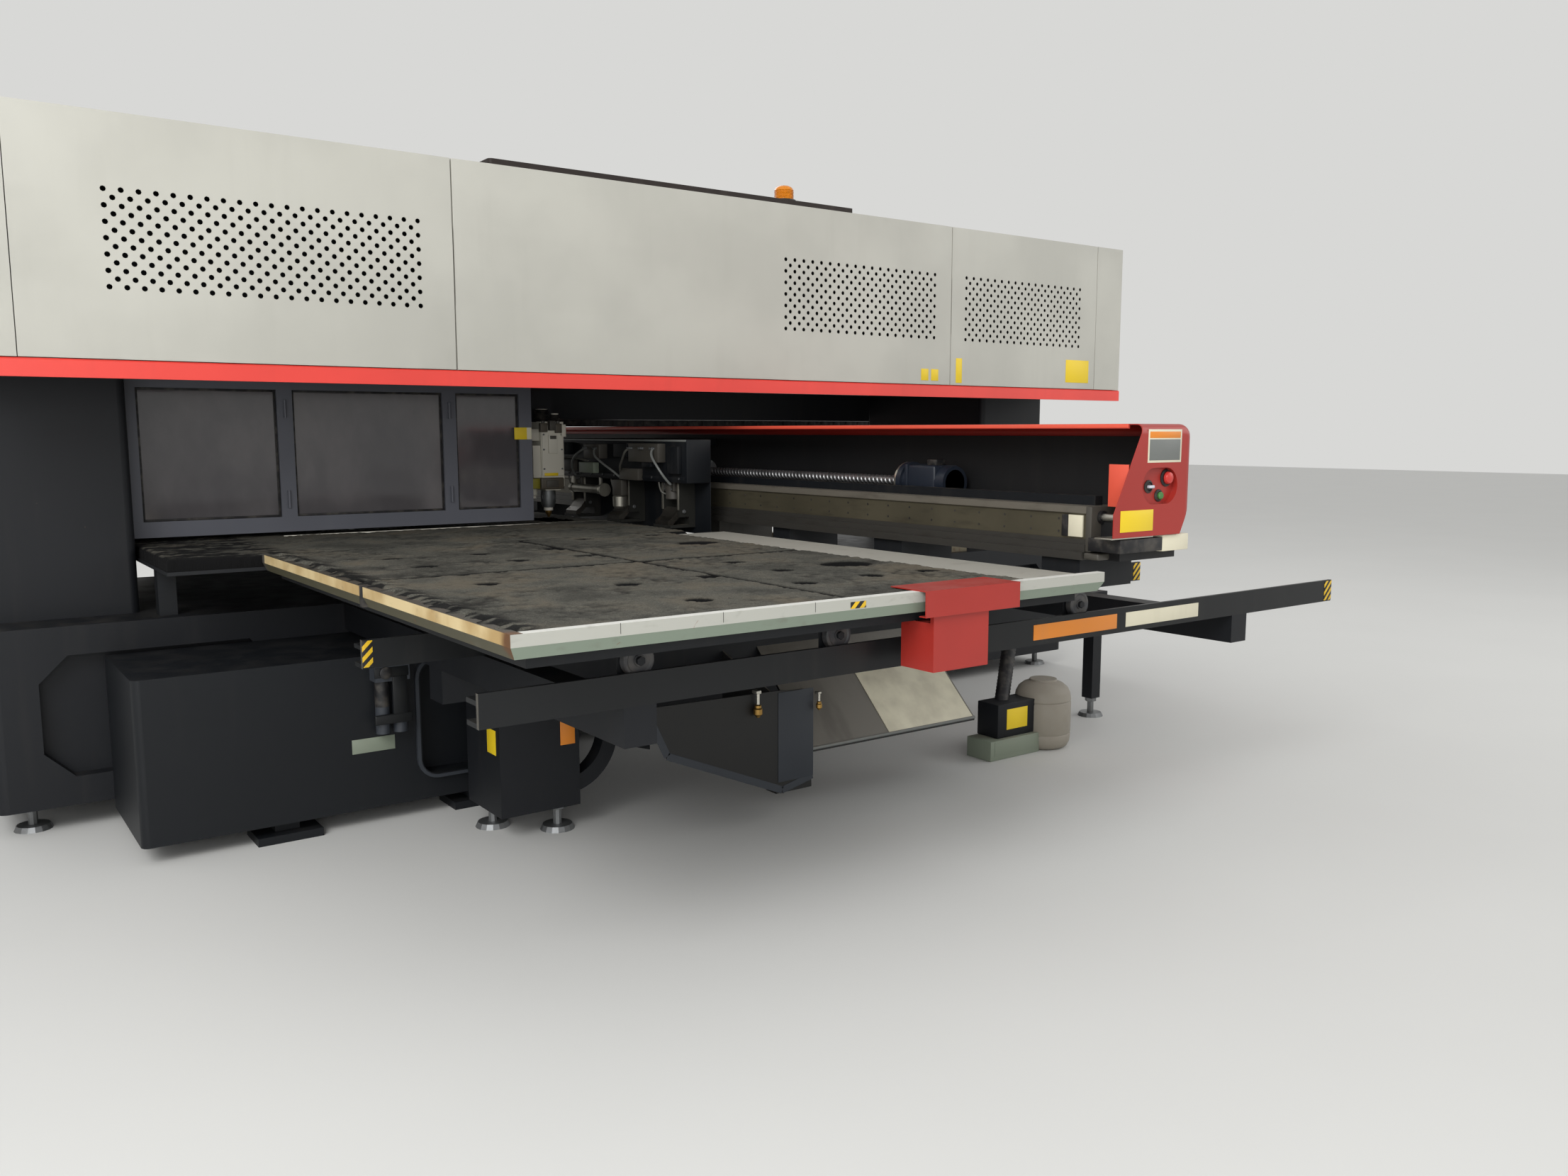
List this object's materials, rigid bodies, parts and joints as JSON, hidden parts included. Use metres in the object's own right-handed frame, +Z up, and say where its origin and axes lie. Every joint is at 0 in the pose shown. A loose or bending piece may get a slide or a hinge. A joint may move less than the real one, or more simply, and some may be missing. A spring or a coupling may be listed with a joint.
{
  "type": "laser cutting machine",
  "caption": "Bridge-type sheet-metal laser cutting machine with a long grey housing, brush tables that travel with a red-covered feed beam, sheet clamps, tool turret and laser head.",
  "frame": {"origin": "on the floor under the middle of the machine", "axes": "+X along the bridge housing towards the feed beam side, +Y along the feed beam away from the operator, +Z up"},
  "size_m": [5.45, 6.208, 2.472],
  "materials": {
    "frame_paint": "satin charcoal enamel",
    "housing_paint": "textured warm grey powder coat",
    "skirt_red": "satin red powder coat",
    "cover_red": "satin deep red powder coat",
    "cap_paint": "matt dark brown enamel",
    "beacon_base_plastic": "moulded",
    "beacon_orange": "clear amber",
    "guard_frame_paint": "satin",
    "smoky_pane": "smoky polycarbonate",
    "machined_steel": "machined and oiled",
    "head_paint": "off-white enamel",
    "nozzle_brass": "turned",
    "brush_bristle": "nylon brush mats",
    "table_steel": "matt",
    "edge_aluminium": "extruded, dirty",
    "rail_paint": "slate blue-grey enamel",
    "wheel_plastic": "cast nylon",
    "guide_steel": "ground",
    "carriage_paint": "satin",
    "clamp_steel": "ground",
    "motor_paint": "satin",
    "button_red": "moulded",
    "button_green": "moulded",
    "knob_black": "moulded",
    "chute_paint": "grey-green enamel, worn",
    "feet_steel": "zinc plated",
    "drum_plastic": "moulded",
    "air_unit_metal": "die cast"
  },
  "bodies": {
    "machine_frame": {"lower_frame": "frame_paint", "left_column": "frame_paint", "right_column": "frame_paint", "upper_frame": "frame_paint", "front_panel_left": "housing_paint", "front_panel_centre": "housing_paint", "front_panel_right": "housing_paint", "rear_panels": "housing_paint", "end_panel_left": "housing_paint", "end_panel_right": "housing_paint", "roof_panel": "housing_paint", "roof_cap": "cap_paint", "skirt_strips": "skirt_red", "beacon_base": "beacon_base_plastic", "beacon_lens": "beacon_orange", "guard_frames": "guard_frame_paint", "guard_panes": "smoky_pane", "ram_housing": "frame_paint", "laser_mount": "frame_paint", "fixed_table": "table_steel", "fixed_brushes": "brush_bristle", "front_base": "frame_paint", "rear_base": "frame_paint", "levelling_feet": "feet_steel", "table_rails": "rail_paint", "frame_guides": "guide_steel", "work_chute": "chute_paint", "service_cabinet": "frame_paint", "air_unit": "air_unit_metal", "dust_collector": "drum_plastic"},
    "feed_beam": {"beam_bed": "guide_steel", "carriage_guide": "guide_steel", "beam_cover": "cover_red", "beam_spine": "carriage_paint", "beam_end_plates": "cover_red", "screw_supports": "motor_paint", "front_table_frame": "table_steel", "rear_table_frame": "table_steel", "front_brushes": "brush_bristle", "rear_brushes": "brush_bristle", "front_edges": "edge_aluminium", "rear_edges": "edge_aluminium", "table_cover": "cover_red"},
    "carriage": {"clamp_carriage": "carriage_paint", "clamp_bodies": "clamp_steel"},
    "screw": {"ball_screw": "guide_steel"},
    "jaw_1": {"clamp_jaw_1": "clamp_steel"},
    "jaw_2": {"clamp_jaw_2": "clamp_steel"},
    "jaw_3": {"clamp_jaw_3": "clamp_steel"},
    "wheels_1": {"table_wheels_1": "wheel_plastic"},
    "wheels_2": {"table_wheels_2": "wheel_plastic"},
    "wheels_3": {"table_wheels_3": "wheel_plastic"},
    "emergency_stop": {"e_stop": "button_red"},
    "start": {"start_button": "button_green"},
    "mode_selector": {"selector": "knob_black"},
    "turret_top": {"upper_turret": "machined_steel"},
    "turret_bottom": {"lower_turret": "machined_steel"},
    "striker": {"ram": "machined_steel"},
    "laser": {"laser_head": "head_paint", "laser_nozzle": "nozzle_brass"}
  },
  "joints": [
    {"name": "beam_feed", "type": "slide", "parent": "machine_frame", "child": "feed_beam", "axis": [1, 0, 0], "range_m": [-0.05, 1.22]},
    {"name": "carriage_feed", "type": "slide", "parent": "feed_beam", "child": "carriage", "axis": [0, 1, 0], "range_m": [-1, 1.5]},
    {"name": "screw_turn", "type": "hinge", "parent": "feed_beam", "child": "screw", "pos_m": [0.4, 0, 1.172], "axis": [0, 1, 0], "range_deg": [-7202, 10802]},
    {"name": "wheels_1_turn", "type": "hinge", "parent": "feed_beam", "child": "wheels_1", "pos_m": [-1.43, 0, 0.8188], "axis": [0, 1, 0], "range_deg": [-69, 1647]},
    {"name": "wheels_2_turn", "type": "hinge", "parent": "feed_beam", "child": "wheels_2", "pos_m": [-0.811, 0, 0.8188], "axis": [0, 1, 0], "range_deg": [-69, 1647]},
    {"name": "wheels_3_turn", "type": "hinge", "parent": "feed_beam", "child": "wheels_3", "pos_m": [0.177, 0, 0.8188], "axis": [0, 1, 0], "range_deg": [-69, 1647]},
    {"name": "jaw_1_open", "type": "hinge", "parent": "carriage", "child": "jaw_1", "pos_m": [0, -0.7, 1.01], "axis": [0, 1, 0], "range_deg": [0, 14]},
    {"name": "jaw_2_open", "type": "hinge", "parent": "carriage", "child": "jaw_2", "pos_m": [0, -0.25, 1.01], "axis": [0, 1, 0], "range_deg": [0, 14]},
    {"name": "jaw_3_open", "type": "hinge", "parent": "carriage", "child": "jaw_3", "pos_m": [0, 0.2, 1.01], "axis": [0, 1, 0], "range_deg": [0, 14]},
    {"name": "e_stop_press", "type": "slide", "parent": "feed_beam", "child": "emergency_stop", "axis": [0, 1, 0], "range_m": [0, 0.006], "stiffness_N_per_m": 600, "springref_m": -0.002},
    {"name": "start_press", "type": "slide", "parent": "feed_beam", "child": "start", "axis": [0, 1, 0], "range_m": [0, 0.006], "stiffness_N_per_m": 400, "springref_m": -0.002},
    {"name": "selector_turn", "type": "hinge", "parent": "feed_beam", "child": "mode_selector", "pos_m": [0.316, -3.02, 1.195], "axis": [0, 1, 0], "range_deg": [-45, 45]},
    {"name": "turret_turn", "type": "hinge", "parent": "machine_frame", "child": "turret_top", "pos_m": [-1.25, 0.37, 1], "axis": [0, 0, 1], "continuous": true},
    {"name": "lower_turret_turn", "type": "hinge", "parent": "machine_frame", "child": "turret_bottom", "pos_m": [-1.25, 0.37, 0.87], "axis": [0, 0, 1], "continuous": true},
    {"name": "ram_stroke", "type": "slide", "parent": "machine_frame", "child": "striker", "axis": [0, 0, -1], "range_m": [0, 0.03], "stiffness_N_per_m": 40000, "springref_m": -0.02},
    {"name": "laser_lift", "type": "slide", "parent": "machine_frame", "child": "laser", "axis": [0, 0, 1], "range_m": [0, 0.1]}
  ],
  "couplings": [
    {"joint": "screw_turn", "follows": "carriage_feed", "rad_per_m": 125.66},
    {"joint": "wheels_1_turn", "follows": "beam_feed", "rad_per_m": 23.529},
    {"joint": "wheels_2_turn", "follows": "beam_feed", "rad_per_m": 23.529},
    {"joint": "wheels_3_turn", "follows": "beam_feed", "rad_per_m": 23.529},
    {"joint": "lower_turret_turn", "follows": "turret_turn", "ratio": 1}
  ]
}
